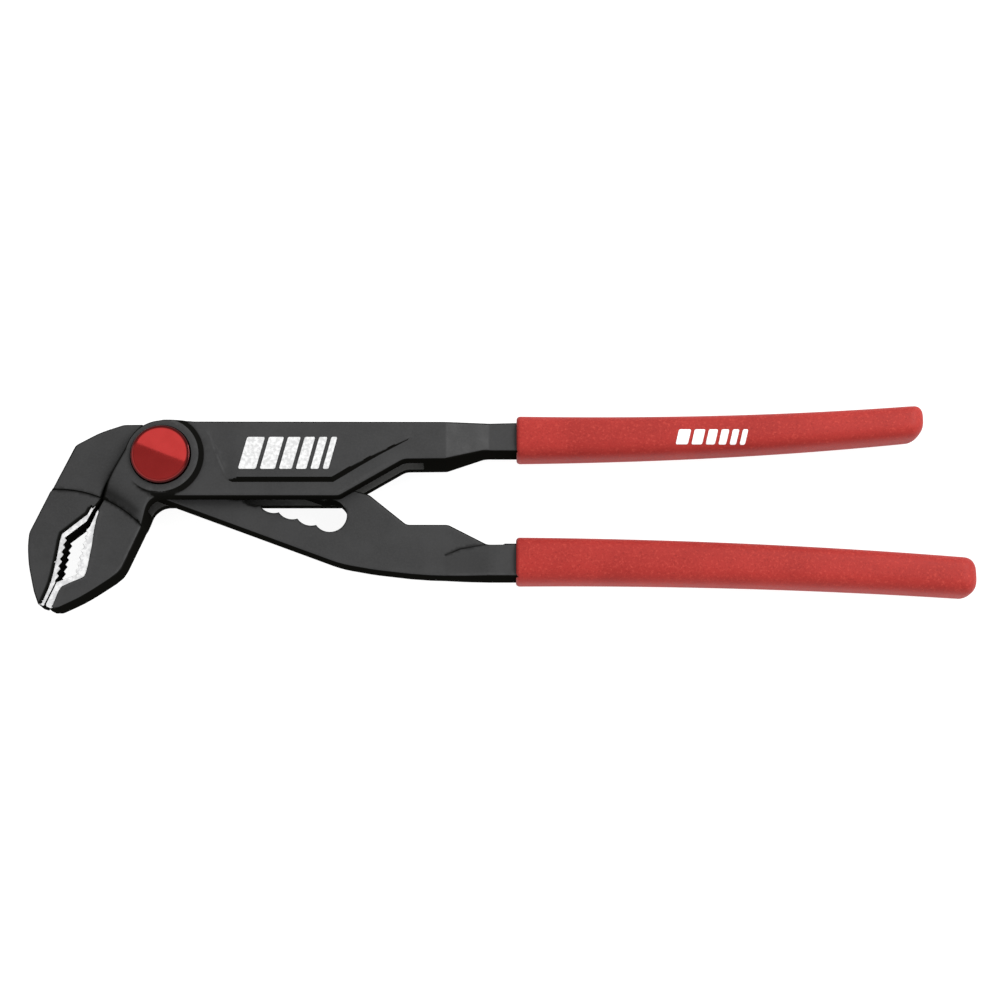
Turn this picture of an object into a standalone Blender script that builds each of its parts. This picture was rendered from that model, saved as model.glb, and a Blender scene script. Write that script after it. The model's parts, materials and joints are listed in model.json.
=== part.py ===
"""Push-button box-joint water pump pliers, lying flat with the button up and the handles along +X.

Plan measures are millimetres from the pin's axis, x towards the handles and y away from the lower
handle. Heights are millimetres from the mid-plane of the joint. One function makes each piece.
"""

import math

import bmesh
import bpy
from mathutils import Vector

MM = 0.001

# Where the pin's axis and the mid-plane stand in the part's own frame.
PIVOT_X = -89.3
PIVOT_Y = 12.67
MID_HEIGHT = 7.2

# Thickness of the joint, as heights above and below the mid-plane.
CHEEK_HALF = 7.2
MORTISE_HALF = 3.4
PLATE_HALF = 3.3
HEAD_HALF = 4.9
JAW_HALF = 4.3
JAW_TIP_HALF = 4.0
SHANK_HALF = 4.6
SLEEVE_HALF = 6.2
BOSS_ROOT = 6.0
BOSS_TOP = 8.2
BOSS_RADIUS = 11.2
BOSS_TOP_RADIUS = 9.9

# Slope from the boss down to the right-hand jaw, along a plan direction from the pin.
NECK_DIRECTION = math.radians(236.6)
NECK_SLOPE_START = 8.0
NECK_SLOPE_HIGH = 8.4
NECK_SLOPE_END = 17.5

# Adjusting slot: a row of notches on a line that falls towards the handle.
SLOT_ANGLE = math.radians(-19.0)
NOTCH_PITCH = 5.2
NOTCH_COUNT = 10
NOTCH_RADIUS = 4.4
SLOT_UPPER_WALL = 3.15
CLEAR_LOWER_WALL = 4.5
NOTCH_LAYER_FLOOR = 1.0

# Locking pin, from its peened tail up to the spigot under the button.
COLLAR_RADIUS = 4.25
COLLAR_FLAT = 3.0
COLLAR_LOW = -5.3
COLLAR_TOP = 3.1
NECK_RADIUS = 3.0
NECK_TOP = 7.7
TAIL_RADIUS = 2.5
PEENED_RADIUS = 3.5
PEENED_LOW = -7.0
PEENED_TOP = -6.5
REAR_BORE_RADIUS = 4.4
COUNTERBORE_RADIUS = 6.8
COUNTERBORE_FLOOR = -5.3
WASHER_INNER = 2.75
WASHER_OUTER = 6.4
WASHER_LOW = -6.25
WASHER_TOP = -5.6

# Front bore with the bush, the spring and the button.
FRONT_BORE_RADIUS = 7.95
BUSH_OUTER = 7.75
BUSH_INNER = 3.3
BUSH_LOW = 3.5
BUSH_TOP = 4.9
BUTTON_RADIUS = 7.75
BUTTON_SKIRT = 7.4
BUTTON_CEILING = 8.0
BUTTON_TOP = 9.2
SPRING_WIRE = 0.3
SPRING_TURNS = 2.75

# Jaws: both step down in thickness on one arc about the tip and thin towards it.
TIP_CENTRE = (-27.5, -39.5)
CREASE_RADIUS = 31.0
TOOTH_DEPTH = 0.65

# Handles.
RAMP_START = 74.6
RAMP_END = 85.9
THICK_SLOPE_START = 69.6
THICK_SLOPE_LOW = 2.75
SHANK_START = 94.0
MORTISE_END = 68.6
SHANK_GAP = 0.35
# Each sleeve's centreline drifts away from its start by drift * part ** bend, and its half width
# narrows by taper, where part is the share of taper_length covered.
UPPER_SLEEVE = {
    "start": 93.2, "end": 201.2, "taper_length": 98.0,
    "centre": 6.0, "drift": 3.7, "bend": 2.2, "half_width": 5.95, "taper": 1.4,
    "end_corners": (3.9, 2.4, 4.2),
}
LOWER_SLEEVE = {
    "start": 93.0, "end": 213.0, "taper_length": 113.0,
    "centre": -27.05, "drift": -4.0, "bend": 2.0, "half_width": 6.15, "taper": 0.95,
    "end_corners": (4.0, 2.8, 4.2),
}
UPPER_SHANK = {"end": 188.0, "walls": (1.75, 2.25), "tip_walls": (2.3, 2.3)}
LOWER_SHANK = {"end": 200.0, "walls": (1.5, 2.0), "tip_walls": (2.4, 2.4)}

ARC_STEP = math.radians(12)
FAR = 60.0
BEYOND = 300.0
ABOVE = 20.0


def clear_scene():
    for item in list(bpy.data.objects):
        bpy.data.objects.remove(item)


def finish_of(name, colour, roughness, metallic):
    material = bpy.data.materials.new(name)
    material.use_nodes = True
    shader = material.node_tree.nodes["Principled BSDF"]
    shader.inputs["Base Color"].default_value = (*colour, 1.0)
    shader.inputs["Roughness"].default_value = roughness
    shader.inputs["Metallic"].default_value = metallic
    return material


def arc(radius, start, end, centre=(0.0, 0.0)):
    """Points on an arc between two angles in degrees."""
    first, last = math.radians(start), math.radians(end)
    steps = max(2, math.ceil(abs(last - first) / ARC_STEP))
    angles = [first + (last - first) * i / steps for i in range(steps + 1)]
    return [(centre[0] + radius * math.cos(a), centre[1] + radius * math.sin(a)) for a in angles]


def rounded(corners):
    """Plan outline from corners (x, y) or (x, y, radius), each radius turned into an arc."""
    outline = []
    for i, corner in enumerate(corners):
        here = Vector(corner[:2])
        if len(corner) < 3:
            outline.append(tuple(here))
            continue
        before = Vector(corners[i - 1][:2]) - here
        after = Vector(corners[(i + 1) % len(corners)][:2]) - here
        half = before.angle(after) / 2
        reach = min(corner[2] / math.tan(half), 0.48 * before.length, 0.48 * after.length)
        radius = reach * math.tan(half)
        middle = here + (before.normalized() + after.normalized()).normalized() * radius / math.sin(half)
        first = here + before.normalized() * reach - middle
        turn = -first.angle_signed(here + after.normalized() * reach - middle)
        steps = max(1, math.ceil(abs(turn) / ARC_STEP))
        start = math.atan2(first.y, first.x)
        for step in range(steps + 1):
            angle = start + turn * step / steps
            outline.append((middle.x + radius * math.cos(angle), middle.y + radius * math.sin(angle)))
    return outline


def new_object(name, mesh_maker, material=None):
    """An object with its origin on the pin's axis, filled by mesh_maker(bmesh)."""
    shape = bmesh.new()
    mesh_maker(shape)
    bmesh.ops.recalc_face_normals(shape, faces=shape.faces)
    bmesh.ops.scale(shape, vec=(MM, MM, MM), verts=shape.verts)
    mesh = bpy.data.meshes.new(name)
    shape.to_mesh(mesh)
    shape.free()
    item = bpy.data.objects.new(name, mesh)
    item.location = (PIVOT_X * MM, PIVOT_Y * MM, MID_HEIGHT * MM)
    bpy.context.scene.collection.objects.link(item)
    if material:
        mesh.materials.append(material)
    return item


def plate(name, outline, low, high, material=None):
    """A flat piece: the outline extruded between two heights."""

    def fill(shape):
        base = [shape.verts.new((x, y, low)) for x, y in outline]
        face = shape.faces.new(base)
        moved = bmesh.ops.extrude_face_region(shape, geom=[face])["geom"]
        top = [item for item in moved if isinstance(item, bmesh.types.BMVert)]
        bmesh.ops.translate(shape, vec=(0, 0, high - low), verts=top)

    return new_object(name, fill, material)


def turned(name, profile, material=None, steps=48, centre=(0.0, 0.0)):
    """A closed profile of (radius, height) points turned about a vertical axis."""

    def fill(shape):
        rings = []
        for radius, height in profile:
            if radius == 0:
                rings.append([shape.verts.new((*centre, height))])
                continue
            angles = [2 * math.pi * i / steps for i in range(steps)]
            rings.append([
                shape.verts.new((centre[0] + radius * math.cos(a), centre[1] + radius * math.sin(a), height))
                for a in angles
            ])
        for ring, following in zip(rings, rings[1:] + rings[:1]):
            for i in range(steps):
                j = (i + 1) % steps
                corners = [ring[i % len(ring)], ring[j % len(ring)]]
                corners += [following[j % len(following)], following[i % len(following)]]
                corners = list(dict.fromkeys(corners))
                if len(corners) > 2:
                    shape.faces.new(corners)

    return new_object(name, fill, material)


def wedge(name, profile, direction, upside_down=False):
    """A cutter: a profile of (distance, height) points, with distance measured along a plan direction."""
    along = Vector((math.cos(direction), math.sin(direction), 0))
    across = Vector((-along.y, along.x, 0)) * FAR
    sign = -1 if upside_down else 1

    def fill(shape):
        points = [along * distance + Vector((0, 0, sign * height)) for distance, height in profile]
        sides = [[shape.verts.new(p + across * k) for p in points] for k in (-1, 1)]
        shape.faces.new(sides[0])
        shape.faces.new(reversed(sides[1]))
        for i in range(len(points)):
            j = (i + 1) % len(points)
            shape.faces.new((sides[0][j], sides[0][i], sides[1][i], sides[1][j]))

    return new_object(name, fill)


def combine(target, operation, *others):
    """Adds Boolean modifiers that take the other objects, which become hidden helpers."""
    for other in others:
        other.hide_render = True
        other.display_type = "WIRE"
        modifier = target.modifiers.new(other.name, "BOOLEAN")
        modifier.operation = operation
        modifier.solver = "EXACT"
        modifier.object = other


def smooth(item, angle=30):
    item.data.shade_smooth()
    item.data.set_sharp_from_angle(angle=math.radians(angle))


def on_slot(distance, side):
    """Plan point at a distance along the notch line, and to its upper side."""
    along = (math.cos(SLOT_ANGLE), math.sin(SLOT_ANGLE))
    return (distance * along[0] - side * along[1], distance * along[1] + side * along[0])


def toothed(start, end, count, depth, peak):
    """A saw-tooth edge between two points. Peak is where along its pitch each tooth is highest."""
    first, last = Vector(start), Vector(end)
    step = (last - first) / count
    outward = Vector((-step.y, step.x)).normalized() * depth
    points = []
    for i in range(count):
        points.append(tuple(first + step * i))
        points.append(tuple(first + step * (i + peak) + outward))
    return points + [tuple(last)]


def jaw_face_cutters(prefix):
    """Both faces of a jaw: a step down on the crease arc, then a shallow cone that thins to the tip."""
    cutters = []
    for side, sign in (("front", 1), ("rear", -1)):
        profile = [
            (0, sign * JAW_TIP_HALF),
            (CREASE_RADIUS, sign * JAW_HALF),
            (CREASE_RADIUS, sign * FAR / 4),
            (0, sign * FAR / 4),
        ]
        cutters.append(turned(f"{prefix}_{side}_face_cut", profile, steps=96, centre=TIP_CENTRE))
    return cutters


def sleeve_edges(size, x):
    """Lower and upper edge of a sleeve at x."""
    part = (x - size["start"]) / size["taper_length"]
    centre = size["centre"] + size["drift"] * part ** size["bend"]
    half = size["half_width"] - size["taper"] * part
    return centre - half, centre + half


def shank_outline(sleeve_size, size):
    """Plan of a shank inside its sleeve, kept a wall's width inside the sleeve's edges."""
    steps = 8
    low, high = [], []
    for i in range(steps + 1):
        part = i / steps
        x = SHANK_START + (size["end"] - SHANK_START) * part
        bottom, top = sleeve_edges(sleeve_size, x)
        low_wall, high_wall = (
            wall + (tip_wall - wall) * part for wall, tip_wall in zip(size["walls"], size["tip_walls"])
        )
        low.append((x, bottom + low_wall))
        high.append((x, top - high_wall))
    return low + high[::-1]


def pocket_outline(outline):
    """A shank's outline moved out by the gap all round, and run on past the sleeve's mouth."""
    overrun = 5.0
    half = len(outline) // 2
    start, end = min(x for x, _ in outline), max(x for x, _ in outline)
    moved = {start: start - overrun, end: end + SHANK_GAP}
    return [
        (moved.get(x, x), y - SHANK_GAP if i < half else y + SHANK_GAP) for i, (x, y) in enumerate(outline)
    ]


def outer_half(material):
    """Boss, cheeks, right-hand jaw and upper shank, with the mortise that the inner half runs through."""
    cheeks = rounded([
        *arc(9.3, 88, 163),
        (-9.45, 1.6),
        (-13.9, -7.1),
        (-15.3, -11.1),
        *arc(CREASE_RADIUS, 65.5, 44, TIP_CENTRE),
        (-4.2, -16.0),
        (-3.2, -11.0, 4.0),
        (46.8, -11.0, 3.0),
        (63.6, -1.1, 4.0),
        (RAMP_START, -1.0, 4.0),
        (84.5, 1.8, 5.0),
        (SHANK_START, 1.8),
        (SHANK_START, 9.7),
        (75.0, 9.3, 60.0),
        (6.0, 9.4),
    ])
    body = plate("outer_half", cheeks, -CHEEK_HALF, CHEEK_HALF, material)
    jaw = rounded([
        (-9.0, -8.2),
        (-15.3, -11.2),
        (-16.6, -13.8, 4.0),
        *toothed((-18.5, -18.4), (-21.2, -30.9), 7, -TOOTH_DEPTH, 0.6),
        (-21.8, -31.3, 0.5),
        (-26.4, -33.1, 0.3),
        (-28.9, -38.9),
        (-28.8, -39.5, 0.3),
        (-27.7, -40.05, 1.0),
        (-25.8, -40.15, 2.0),
        (-20.2, -37.5, 40.0),
        (-16.4, -35.1, 40.0),
        (-12.3, -32.3, 8.0),
        (-10.4, -30.7, 2.5),
        (-9.3, -29.0, 8.0),
        (-4.7, -18.3, 20.0),
        (-3.9, -14.8),
        (-3.3, -11.5),
    ])
    jaw_body = plate("outer_jaw", jaw, -HEAD_HALF, HEAD_HALF)
    combine(jaw_body, "DIFFERENCE", *jaw_face_cutters("outer_jaw"))
    shank = plate("outer_shank", shank_outline(UPPER_SLEEVE, UPPER_SHANK), -SHANK_HALF, SHANK_HALF)

    neck_slope = [
        (NECK_SLOPE_START, NECK_SLOPE_HIGH),
        (NECK_SLOPE_END, HEAD_HALF),
        (FAR, HEAD_HALF),
        (FAR, ABOVE),
        (NECK_SLOPE_START, ABOVE),
    ]
    shank_slope = [
        (RAMP_START, CHEEK_HALF),
        (RAMP_END, SHANK_HALF),
        (BEYOND, SHANK_HALF),
        (BEYOND, ABOVE),
        (RAMP_START, ABOVE),
    ]
    slopes = []
    for side, upside_down in (("front", False), ("rear", True)):
        slopes.append(wedge(f"neck_{side}_slope", neck_slope, NECK_DIRECTION, upside_down))
        slopes.append(wedge(f"shank_{side}_slope", shank_slope, 0.0, upside_down))
    combine(body, "DIFFERENCE", *slopes)

    boss = turned(
        "boss",
        [
            (0, BOSS_ROOT),
            (BOSS_RADIUS, BOSS_ROOT),
            (BOSS_RADIUS, CHEEK_HALF),
            (BOSS_TOP_RADIUS, BOSS_TOP),
            (0, BOSS_TOP),
        ],
    )
    boss_limit = plate(
        "boss_limit",
        [
            (-9.1, 2.4),
            (-9.45, 1.6),
            (-13.9, -7.1),
            (-3.5, -10.9),
            (20, -10.9),
            (20, 9.35),
            (-2.9, 9.35),
            (-4.6, 8.5),
        ],
        BOSS_ROOT - 0.5,
        BOSS_TOP + 1.0,
    )
    combine(boss, "INTERSECT", boss_limit)
    combine(body, "UNION", jaw_body, shank, boss)

    mortise = plate(
        "mortise",
        [
            (-40.0, -11.5),
            (-15.35, -11.5),
            (-10.4, -7.95),
            (-7.0, -9.15),
            (-2.4, -15.9),
            (MORTISE_END, -15.9),
            (MORTISE_END, 25.0),
            (-40.0, 25.0),
        ],
        -MORTISE_HALF,
        MORTISE_HALF,
    )
    front_bore = turned("front_bore", bore_profile(FRONT_BORE_RADIUS, 2.0, 12.0))
    rear_bore = turned("rear_bore", bore_profile(REAR_BORE_RADIUS, -10.0, 0.0))
    counterbore = turned("counterbore", bore_profile(COUNTERBORE_RADIUS, -12.0, COUNTERBORE_FLOOR))
    combine(body, "DIFFERENCE", mortise, front_bore, rear_bore, counterbore)
    smooth(body)


def bore_profile(radius, low, high):
    return [(0, low), (radius, low), (radius, high), (0, high)]


def notched_slot():
    """Front layer of the slot: notches along its lower wall and one straight upper wall."""
    last = (NOTCH_COUNT - 1) * NOTCH_PITCH
    cusp = math.degrees(math.asin(NOTCH_PITCH / 2 / NOTCH_RADIUS))
    corner = math.degrees(math.asin(SLOT_UPPER_WALL / NOTCH_RADIUS))
    points = []
    for i in range(NOTCH_COUNT):
        start = 180 - corner if i == 0 else 270 - cusp
        end = 360 + corner if i == NOTCH_COUNT - 1 else 270 + cusp
        points += arc(NOTCH_RADIUS, start, end, (i * NOTCH_PITCH, 0.0))
    # Neighbouring notches end and begin on the same cusp, which is kept once.
    points = [point for i, point in enumerate(points) if i == 0 or math.dist(point, points[i - 1]) > 0.01]
    return [on_slot(*point) for point in points], last


def clear_slot(last):
    """Rear layer of the slot, wide enough for the pin's collar to pass every notch."""
    corner = math.degrees(math.asin(SLOT_UPPER_WALL / CLEAR_LOWER_WALL))
    points = arc(CLEAR_LOWER_WALL, 180 - corner, 270)
    points += arc(CLEAR_LOWER_WALL, 270, 360 + corner, (last, 0.0))
    return [on_slot(*point) for point in points]


def inner_half(material):
    """Left-hand jaw, slotted plate and lower shank."""
    head = rounded([
        (-15.9, -11.3),
        (-14.4, -7.1),
        (-9.95, 1.6),
        (-8.4, 4.6),
        (-6.3, 8.9, 0.3),
        (-10.6, 9.1, 4.0),
        (-16.8, 7.0, 25.0),
        (-23.1, 3.5, 2.4),
        (-28.4, -8.0, 0.3),
        (-29.3, -8.9, 0.8),
        (-34.3, -20.0, 4.0),
        (-34.5, -23.5, 25.0),
        (-34.0, -28.5, 25.0),
        (-32.3, -35.6, 20.0),
        (-31.0, -38.9, 0.6),
        (-29.45, -39.4, 0.3),
        (-29.3, -38.8),
        (-26.8, -33.2),
        *toothed((-26.85, -32.6), (-24.9, -21.3), 6, -TOOTH_DEPTH, 0.7),
        (-19.4, -16.9, 1.0),
        (-17.9, -13.8, 2.0),
    ])
    body = plate("inner_half", head, -HEAD_HALF, HEAD_HALF, material)
    combine(body, "DIFFERENCE", *jaw_face_cutters("inner_jaw"))

    plan = rounded([
        (-17.0, 5.0),
        (-16.2, -11.0),
        (-15.9, -11.3),
        (-10.4, -7.0),
        (47.3, -28.45, 30.0),
        (56.0, -30.0, 40.0),
        (68.0, -31.4, 60.0),
        (80.0, -31.75, 60.0),
        (SHANK_START, -31.75),
        (SHANK_START, -22.9),
        (85.4, -22.9, 3.0),
        (75.2, -17.6, 3.0),
        (64.3, -17.6, 2.5),
        (54.3, -9.5, 3.0),
        (50.6, -8.45, 3.0),
        *arc(8.6, 71, 98),
        (-8.0, 8.4),
    ])
    arm = plate("slotted_plate", plan, -PLATE_HALF, PLATE_HALF)
    shank_start = [
        (RAMP_START, -25.8),
        (78.3, -24.2),
        (85.0, -23.1),
        (SHANK_START, -22.95),
        (SHANK_START, -31.7),
        (80.0, -31.7),
        (RAMP_START, -31.55),
    ]
    thick = plate("thick_shank", shank_start, -SHANK_HALF, SHANK_HALF)
    slope = [
        (THICK_SLOPE_START, THICK_SLOPE_LOW),
        (RAMP_END, SHANK_HALF),
        (RAMP_END, ABOVE),
        (THICK_SLOPE_START, ABOVE),
    ]
    slopes = [wedge("thick_front_slope", slope, 0.0), wedge("thick_rear_slope", slope, 0.0, True)]
    combine(thick, "DIFFERENCE", *slopes)
    shank = plate("inner_shank", shank_outline(LOWER_SLEEVE, LOWER_SHANK), -SHANK_HALF, SHANK_HALF)
    combine(body, "UNION", arm, thick, shank)

    notches, last = notched_slot()
    front_slot = plate("notched_slot", notches, NOTCH_LAYER_FLOOR, 10.0)
    rear_slot = plate("clear_slot", clear_slot(last), -10.0, NOTCH_LAYER_FLOOR)
    combine(body, "DIFFERENCE", rear_slot, front_slot)
    smooth(body)


def joint_pin(material):
    """Locking pin: peened tail, D-shaped collar that fills a notch, and a neck up to the button."""
    corner = math.degrees(math.asin(COLLAR_FLAT / COLLAR_RADIUS))
    collar = [on_slot(*point) for point in arc(COLLAR_RADIUS, 180 - corner, 360 + corner)]
    pin = plate("joint_pin", collar, COLLAR_LOW, COLLAR_TOP, material)
    neck = turned("pin_neck", bore_profile(NECK_RADIUS, COLLAR_TOP - 1, NECK_TOP))
    tail = turned(
        "pin_tail",
        [
            (0, PEENED_LOW),
            (PEENED_RADIUS - 0.25, PEENED_LOW),
            (PEENED_RADIUS, PEENED_TOP),
            (TAIL_RADIUS, PEENED_TOP + 0.01),
            (TAIL_RADIUS, COLLAR_LOW + 1),
            (0, COLLAR_LOW + 1),
        ],
    )
    combine(pin, "UNION", neck, tail)
    smooth(pin)


def ring(name, inner, outer, low, high, edge, material):
    """A washer or bush with its outer edges broken."""
    profile = [
        (inner, low),
        (outer - edge, low),
        (outer, low + edge),
        (outer, high - edge),
        (outer - edge, high),
        (inner, high),
    ]
    smooth(turned(name, profile, material))


def push_button(material):
    """Red cap: a skirt and a hub underneath, a broken edge and a slightly dished top."""
    profile = [
        (0, BUTTON_CEILING),
        (NECK_RADIUS + 0.3, BUTTON_CEILING),
        (NECK_RADIUS + 0.3, BUTTON_SKIRT),
        (4.3, BUTTON_SKIRT),
        (4.3, BUTTON_CEILING),
        (6.9, BUTTON_CEILING),
        (6.9, BUTTON_SKIRT),
        (BUTTON_RADIUS, BUTTON_SKIRT),
        (BUTTON_RADIUS, BUTTON_TOP - 0.45),
        (BUTTON_RADIUS - 0.15, BUTTON_TOP - 0.15),
        (BUTTON_RADIUS - 0.5, BUTTON_TOP),
        (BUTTON_RADIUS - 1.1, BUTTON_TOP),
        (0, BUTTON_TOP - 0.25),
    ]
    smooth(turned("push_button", profile, material))


def return_spring(material):
    """Conical spring: its turns nest inside one another when the button is pressed."""
    sides, per_turn = 8, 24
    count = int(SPRING_TURNS * per_turn)
    low, high = BUSH_TOP + 0.15 + SPRING_WIRE, BUTTON_CEILING - 0.1 - SPRING_WIRE
    wide, narrow = 6.3, 5.0

    def fill(shape):
        loops = []
        for i in range(count + 1):
            part = i / count
            turn = 2 * math.pi * SPRING_TURNS * part
            radius = wide + (narrow - wide) * part
            height = low + (high - low) * part
            loop = []
            for k in range(sides):
                around = 2 * math.pi * k / sides
                reach = radius + SPRING_WIRE * math.cos(around)
                rise = SPRING_WIRE * math.sin(around)
                point = (reach * math.cos(turn), reach * math.sin(turn), height + rise)
                loop.append(shape.verts.new(point))
            loops.append(loop)
        for first, second in zip(loops, loops[1:]):
            for k in range(sides):
                j = (k + 1) % sides
                shape.faces.new((first[k], first[j], second[j], second[k]))
        shape.faces.new(loops[0])
        shape.faces.new(loops[-1])

    smooth(new_object("return_spring", fill, material))


def sleeve(name, size, cavity, material):
    """A closed-ended sleeve: rounded sections along the handle, with the shank's pocket cut out."""
    start, end, corners = size["start"], size["end"], size["end_corners"]
    mouth_round = 0.8
    body_sections = 14
    end_sections = 7
    points_round = 24
    squareness = 2 / 3.2

    def drawn_in(distance, radius):
        """How far a rounded corner has drawn in, at a distance past where its arc begins."""
        inside = min(max(distance / radius, 0.0), 1.0)
        return radius * (1 - math.sqrt(1 - inside * inside))

    deepest = max(corners)
    stations = [start, start + 0.25 * mouth_round, start + mouth_round]
    middle = end - deepest - stations[-1]
    stations += [stations[-1] + middle * (i + 1) / body_sections for i in range(body_sections)]
    turns = [math.pi / 2 * (i + 1) / end_sections for i in range(end_sections)]
    stations += [end - deepest + deepest * math.sin(turn) for turn in turns]

    def fill(shape):
        loops = []
        for x in stations:
            low, high = sleeve_edges(size, x)
            mouth = drawn_in(start + mouth_round - x, mouth_round)
            low += drawn_in(x - (end - corners[0]), corners[0]) + mouth
            high -= drawn_in(x - (end - corners[1]), corners[1]) + mouth
            thick = SLEEVE_HALF - drawn_in(x - (end - corners[2]), corners[2]) - mouth
            centre, half = (low + high) / 2, (high - low) / 2
            loop = []
            for k in range(points_round):
                angle = 2 * math.pi * (k + 0.5) / points_round
                c, s = math.cos(angle), math.sin(angle)
                across = math.copysign(abs(c) ** squareness, c) * half
                up = math.copysign(abs(s) ** squareness, s) * thick
                loop.append(shape.verts.new((x, centre + across, up)))
            loops.append(loop)
        for first, second in zip(loops, loops[1:]):
            for k in range(points_round):
                j = (k + 1) % points_round
                shape.faces.new((first[k], first[j], second[j], second[k]))
        shape.faces.new(loops[0])
        shape.faces.new(loops[-1])

    body = new_object(name, fill, material)
    reach = SHANK_HALF + SHANK_GAP
    pocket = plate(f"{name}_pocket", pocket_outline(cavity), -reach, reach)
    combine(body, "DIFFERENCE", pocket)
    smooth(body, 35)


def build():
    clear_scene()
    steel = (0.085, 0.085, 0.088)
    outer_half(finish_of("blackened_steel_outer", steel, 0.5, 0.6))
    inner_half(finish_of("blackened_steel_inner", steel, 0.5, 0.6))
    joint_pin(finish_of("pin_steel", (0.42, 0.42, 0.43), 0.32, 1.0))
    ring(
        "guide_bush", BUSH_INNER, BUSH_OUTER, BUSH_LOW, BUSH_TOP, 0.2,
        finish_of("bush_steel", (0.4, 0.4, 0.41), 0.35, 1.0),
    )
    ring(
        "retaining_washer", WASHER_INNER, WASHER_OUTER, WASHER_LOW, WASHER_TOP, 0.12,
        finish_of("washer_steel", (0.45, 0.45, 0.46), 0.3, 1.0),
    )
    return_spring(finish_of("spring_steel", (0.5, 0.5, 0.5), 0.28, 1.0))
    push_button(finish_of("button_red", (0.42, 0.03, 0.03), 0.25, 0.0))
    sleeve(
        "upper_grip_sleeve", UPPER_SLEEVE, shank_outline(UPPER_SLEEVE, UPPER_SHANK),
        finish_of("grip_red_upper", (0.46, 0.045, 0.04), 0.55, 0.0),
    )
    sleeve(
        "lower_grip_sleeve", LOWER_SLEEVE, shank_outline(LOWER_SLEEVE, LOWER_SHANK),
        finish_of("grip_red_lower", (0.46, 0.045, 0.04), 0.55, 0.0),
    )


build()
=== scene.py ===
"""Looks for the push-button water pump pliers: forged halves, ground jaws, dipped grips and button.

Plan measures are millimetres from the pin's axis, x towards the handles and y away from the lower
handle. Heights are millimetres from the mid-plane of the joint.
"""

import json
import math

import bmesh
import bpy
import numpy as np
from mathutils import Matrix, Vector
from mathutils.geometry import delaunay_2d_cdt


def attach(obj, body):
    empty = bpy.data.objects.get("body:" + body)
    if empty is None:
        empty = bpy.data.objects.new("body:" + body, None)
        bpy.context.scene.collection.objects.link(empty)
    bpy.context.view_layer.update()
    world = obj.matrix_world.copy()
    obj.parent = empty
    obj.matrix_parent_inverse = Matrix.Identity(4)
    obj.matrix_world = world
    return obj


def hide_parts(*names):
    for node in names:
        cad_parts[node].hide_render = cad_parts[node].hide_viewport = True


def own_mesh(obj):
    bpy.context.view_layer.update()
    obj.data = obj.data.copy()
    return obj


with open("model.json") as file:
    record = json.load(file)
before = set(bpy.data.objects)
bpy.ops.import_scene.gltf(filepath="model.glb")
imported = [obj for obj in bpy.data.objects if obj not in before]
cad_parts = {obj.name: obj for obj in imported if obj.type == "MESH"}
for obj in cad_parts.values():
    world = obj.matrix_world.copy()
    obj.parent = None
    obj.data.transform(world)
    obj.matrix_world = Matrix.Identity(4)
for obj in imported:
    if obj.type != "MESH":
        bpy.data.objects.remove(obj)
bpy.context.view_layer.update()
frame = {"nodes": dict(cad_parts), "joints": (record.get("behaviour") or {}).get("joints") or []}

MM = 0.001
SWING = next(j for j in frame["joints"] if j["name"] == "jaw_swing")
PIVOT = Vector(SWING["pos_m"])

# Heights above the joint's mid-plane.
CHEEK = 7.2
MORTISE = 3.4
PLATE = 3.3
HEAD = 4.9
JAW = 4.3
JAW_TIP = 4.0
SHANK = 4.6
BOSS_TOP = 8.2
BUTTON_TOP = 9.2

BOSS_RADIUS = 11.2
BOSS_TOP_RADIUS = 9.9
BUTTON_RADIUS = 7.75
FRONT_BORE_RADIUS = 7.95
REAR_BORE_RADIUS = 4.4
COUNTERBORE_RADIUS = 6.8
BORE_FLOOR = 2.0
COUNTERBORE_FLOOR = -5.3

# The crease across the jaws is an arc about a point by their tips.
TIP_CENTRE = (-27.5, -39.5)
CREASE_RADIUS = 31.0
CREASE_STEP = 0.18
TOOTH_DEPTH = 0.65
NECK_TOP_REACH = 39.5

SLOT_ANGLE = math.radians(-19.0)
NOTCH_PITCH = 5.2
NOTCH_COUNT = 10
NOTCH_RADIUS = 4.4
SLOT_UPPER_WALL = 3.15
CLEAR_LOWER_WALL = 4.5
NOTCH_LAYER_FLOOR = 1.0
# A cutter reaches this far past the steel.
BEYOND = 10.0

RAMP_START = 74.6
RAMP_END = 85.9
SHANK_START = 94.0
MORTISE_END = 68.6

EDGE_RADIUS = 0.65
BAND_EDGE_RADIUS = 0.1

ARC_STEP = math.radians(5)

# Spacing of a forging's mesh: its rim, its feature lines and the open field.
RIM_STEP = 0.5
LINE_STEP = 0.45
FIELD_STEP = 0.8
FIELD_ROW_RATIO = 0.866
# Rows of points across a rounded edge, as shares of its radius.
EDGE_ROWS = (0.076, 0.293, 0.617, 1.0, 1.7)
EDGE_ROW_CLEARANCE = 0.85
LINE_TO_RIM = 0.04
FIELD_TO_RIM = 0.3
FIELD_TO_LINE = 0.25


# ---------------------------------------------------------------- plan geometry


def arc(radius, start, end, centre=(0.0, 0.0)):
    first, last = math.radians(start), math.radians(end)
    steps = max(2, math.ceil(abs(last - first) / ARC_STEP))
    angles = [first + (last - first) * i / steps for i in range(steps + 1)]
    return [(centre[0] + radius * math.cos(a), centre[1] + radius * math.sin(a)) for a in angles]


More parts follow.
